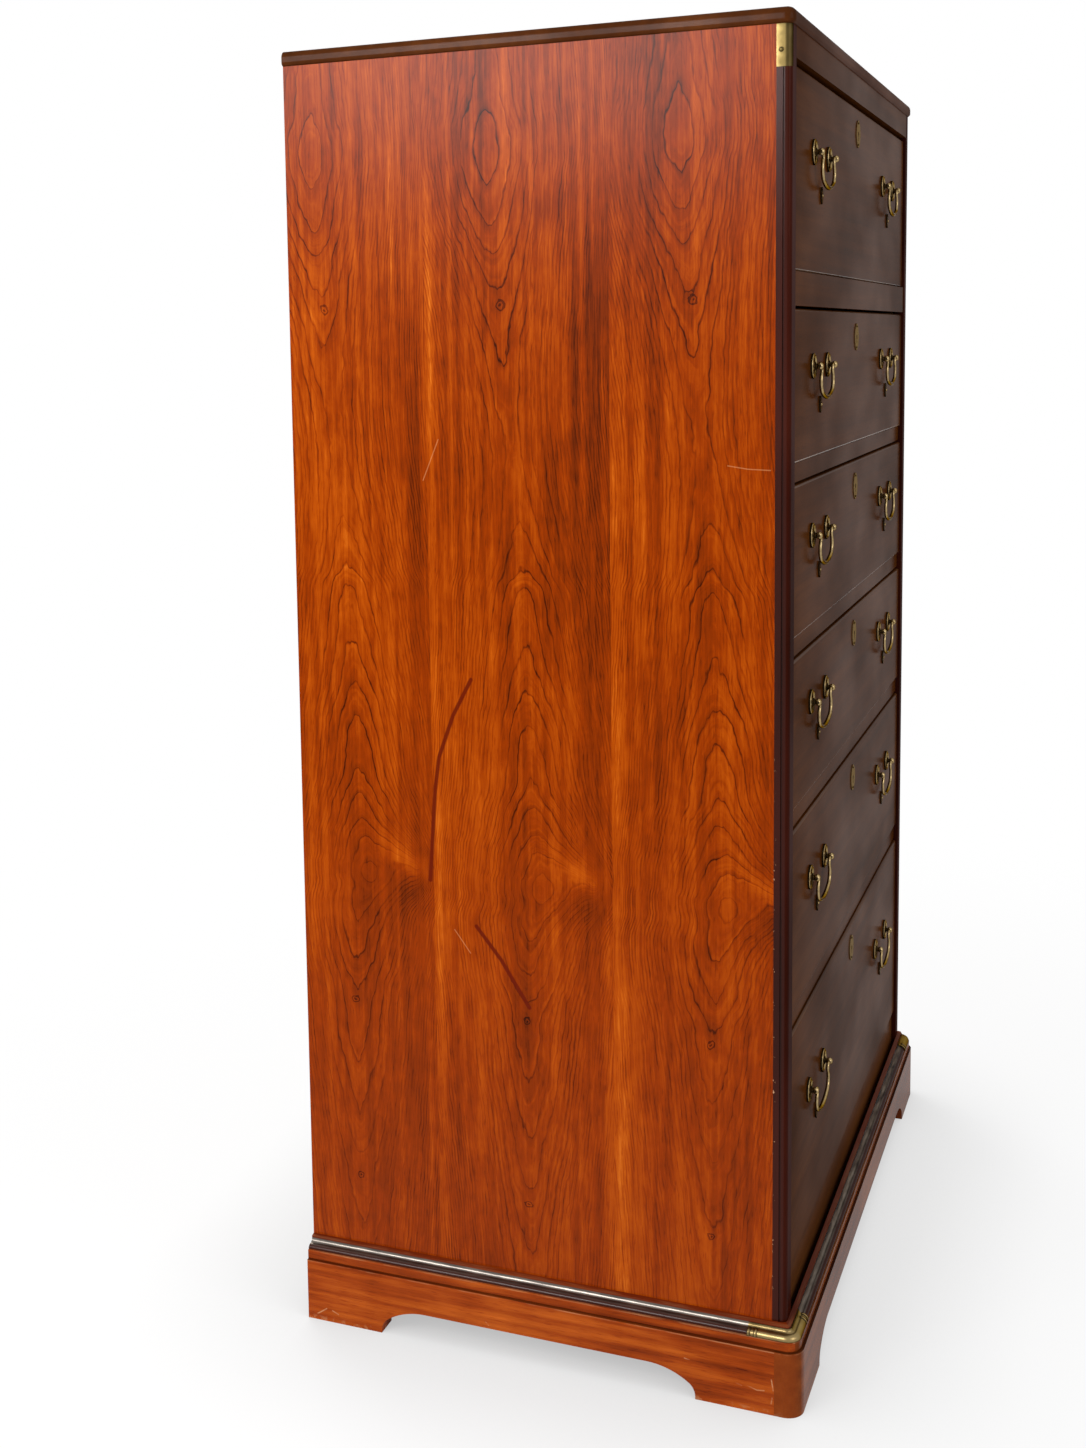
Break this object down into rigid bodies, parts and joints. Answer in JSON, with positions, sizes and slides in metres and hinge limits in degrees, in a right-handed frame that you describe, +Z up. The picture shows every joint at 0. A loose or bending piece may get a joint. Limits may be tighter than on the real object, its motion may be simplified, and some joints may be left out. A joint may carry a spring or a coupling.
{
  "type": "campaign tall chest",
  "caption": "Tall campaign chest: graduated drawers with swan-neck brass bails between rounded posts, on a moulded base with bracket feet.",
  "frame": {"origin": "on the floor, under the middle of the base", "axes": "+Z up, +X to the right as seen from the front, +Y towards the back"},
  "size_m": [0.835, 0.5296, 1.3425],
  "materials": {
    "dark_mahogany": "dark stained, satin lacquer",
    "cherry_veneer": "figured veneer, satin lacquer",
    "red_mahogany": "red-brown stain, satin lacquer",
    "plain_oak": "planed, unfinished",
    "back_board": "thin board, unfinished",
    "brass": "aged, polished on the high spots"
  },
  "bodies": {
    "carcass": {"side_panel_left": "cherry_veneer", "side_panel_right": "cherry_veneer", "front_post_left": "dark_mahogany", "front_post_right": "dark_mahogany", "back_panel": "back_board", "top_board": "dark_mahogany", "frieze_rail": "dark_mahogany", "wide_rail": "dark_mahogany", "rail_below_drawer_2": "dark_mahogany", "rail_below_drawer_3": "dark_mahogany", "rail_below_drawer_4": "dark_mahogany", "rail_below_drawer_5": "dark_mahogany", "bottom_rail": "dark_mahogany", "drawer_runners": "plain_oak", "top_kickers": "plain_oak", "dust_panels": "back_board", "base_front": "red_mahogany", "base_side_left": "red_mahogany", "base_side_right": "red_mahogany", "base_back": "plain_oak", "base_moulding_front": "red_mahogany", "base_moulding_left": "red_mahogany", "base_moulding_right": "red_mahogany", "glue_blocks": "plain_oak", "top_corner_left": "brass", "top_corner_right": "brass", "base_cap_left": "brass", "base_cap_right": "brass"},
    "drawer_1": {"drawer_1_front": "dark_mahogany", "drawer_1_box": "plain_oak", "drawer_1_hardware": "brass"},
    "drawer_1_bail_left": {"drawer_1_bail_left": "brass"},
    "drawer_1_bail_right": {"drawer_1_bail_right": "brass"},
    "drawer_2": {"drawer_2_front": "dark_mahogany", "drawer_2_box": "plain_oak", "drawer_2_hardware": "brass"},
    "drawer_2_bail_left": {"drawer_2_bail_left": "brass"},
    "drawer_2_bail_right": {"drawer_2_bail_right": "brass"},
    "drawer_3": {"drawer_3_front": "dark_mahogany", "drawer_3_box": "plain_oak", "drawer_3_hardware": "brass"},
    "drawer_3_bail_left": {"drawer_3_bail_left": "brass"},
    "drawer_3_bail_right": {"drawer_3_bail_right": "brass"},
    "drawer_4": {"drawer_4_front": "dark_mahogany", "drawer_4_box": "plain_oak", "drawer_4_hardware": "brass"},
    "drawer_4_bail_left": {"drawer_4_bail_left": "brass"},
    "drawer_4_bail_right": {"drawer_4_bail_right": "brass"},
    "drawer_5": {"drawer_5_front": "dark_mahogany", "drawer_5_box": "plain_oak", "drawer_5_hardware": "brass"},
    "drawer_5_bail_left": {"drawer_5_bail_left": "brass"},
    "drawer_5_bail_right": {"drawer_5_bail_right": "brass"},
    "drawer_6": {"drawer_6_front": "dark_mahogany", "drawer_6_box": "plain_oak", "drawer_6_hardware": "brass"},
    "drawer_6_bail_left": {"drawer_6_bail_left": "brass"},
    "drawer_6_bail_right": {"drawer_6_bail_right": "brass"}
  },
  "joints": [
    {"name": "drawer_1_slide", "type": "slide", "parent": "carcass", "child": "drawer_1", "axis": [0, -1, 0], "range_m": [0, 0.36]},
    {"name": "drawer_1_bail_left_swing", "type": "hinge", "parent": "drawer_1", "child": "drawer_1_bail_left", "pos_m": [-0.23, -0.25175, 1.22406], "axis": [-1, 0, 0], "range_deg": [0, 95]},
    {"name": "drawer_1_bail_right_swing", "type": "hinge", "parent": "drawer_1", "child": "drawer_1_bail_right", "pos_m": [0.23, -0.25175, 1.22406], "axis": [-1, 0, 0], "range_deg": [0, 95]},
    {"name": "drawer_2_slide", "type": "slide", "parent": "carcass", "child": "drawer_2", "axis": [0, -1, 0], "range_m": [0, 0.36]},
    {"name": "drawer_2_bail_left_swing", "type": "hinge", "parent": "drawer_2", "child": "drawer_2_bail_left", "pos_m": [-0.23, -0.25175, 1.01702], "axis": [-1, 0, 0], "range_deg": [0, 95]},
    {"name": "drawer_2_bail_right_swing", "type": "hinge", "parent": "drawer_2", "child": "drawer_2_bail_right", "pos_m": [0.23, -0.25175, 1.01702], "axis": [-1, 0, 0], "range_deg": [0, 95]},
    {"name": "drawer_3_slide", "type": "slide", "parent": "carcass", "child": "drawer_3", "axis": [0, -1, 0], "range_m": [0, 0.36]},
    {"name": "drawer_3_bail_left_swing", "type": "hinge", "parent": "drawer_3", "child": "drawer_3_bail_left", "pos_m": [-0.23, -0.25175, 0.84914], "axis": [-1, 0, 0], "range_deg": [0, 95]},
    {"name": "drawer_3_bail_right_swing", "type": "hinge", "parent": "drawer_3", "child": "drawer_3_bail_right", "pos_m": [0.23, -0.25175, 0.84914], "axis": [-1, 0, 0], "range_deg": [0, 95]},
    {"name": "drawer_4_slide", "type": "slide", "parent": "carcass", "child": "drawer_4", "axis": [0, -1, 0], "range_m": [0, 0.36]},
    {"name": "drawer_4_bail_left_swing", "type": "hinge", "parent": "drawer_4", "child": "drawer_4_bail_left", "pos_m": [-0.23, -0.25175, 0.68064], "axis": [-1, 0, 0], "range_deg": [0, 95]},
    {"name": "drawer_4_bail_right_swing", "type": "hinge", "parent": "drawer_4", "child": "drawer_4_bail_right", "pos_m": [0.23, -0.25175, 0.68064], "axis": [-1, 0, 0], "range_deg": [0, 95]},
    {"name": "drawer_5_slide", "type": "slide", "parent": "carcass", "child": "drawer_5", "axis": [0, -1, 0], "range_m": [0, 0.36]},
    {"name": "drawer_5_bail_left_swing", "type": "hinge", "parent": "drawer_5", "child": "drawer_5_bail_left", "pos_m": [-0.23, -0.25175, 0.49922], "axis": [-1, 0, 0], "range_deg": [0, 95]},
    {"name": "drawer_5_bail_right_swing", "type": "hinge", "parent": "drawer_5", "child": "drawer_5_bail_right", "pos_m": [0.23, -0.25175, 0.49922], "axis": [-1, 0, 0], "range_deg": [0, 95]},
    {"name": "drawer_6_slide", "type": "slide", "parent": "carcass", "child": "drawer_6", "axis": [0, -1, 0], "range_m": [0, 0.36]},
    {"name": "drawer_6_bail_left_swing", "type": "hinge", "parent": "drawer_6", "child": "drawer_6_bail_left", "pos_m": [-0.23, -0.25175, 0.27392], "axis": [-1, 0, 0], "range_deg": [0, 95]},
    {"name": "drawer_6_bail_right_swing", "type": "hinge", "parent": "drawer_6", "child": "drawer_6_bail_right", "pos_m": [0.23, -0.25175, 0.27392], "axis": [-1, 0, 0], "range_deg": [0, 95]}
  ]
}
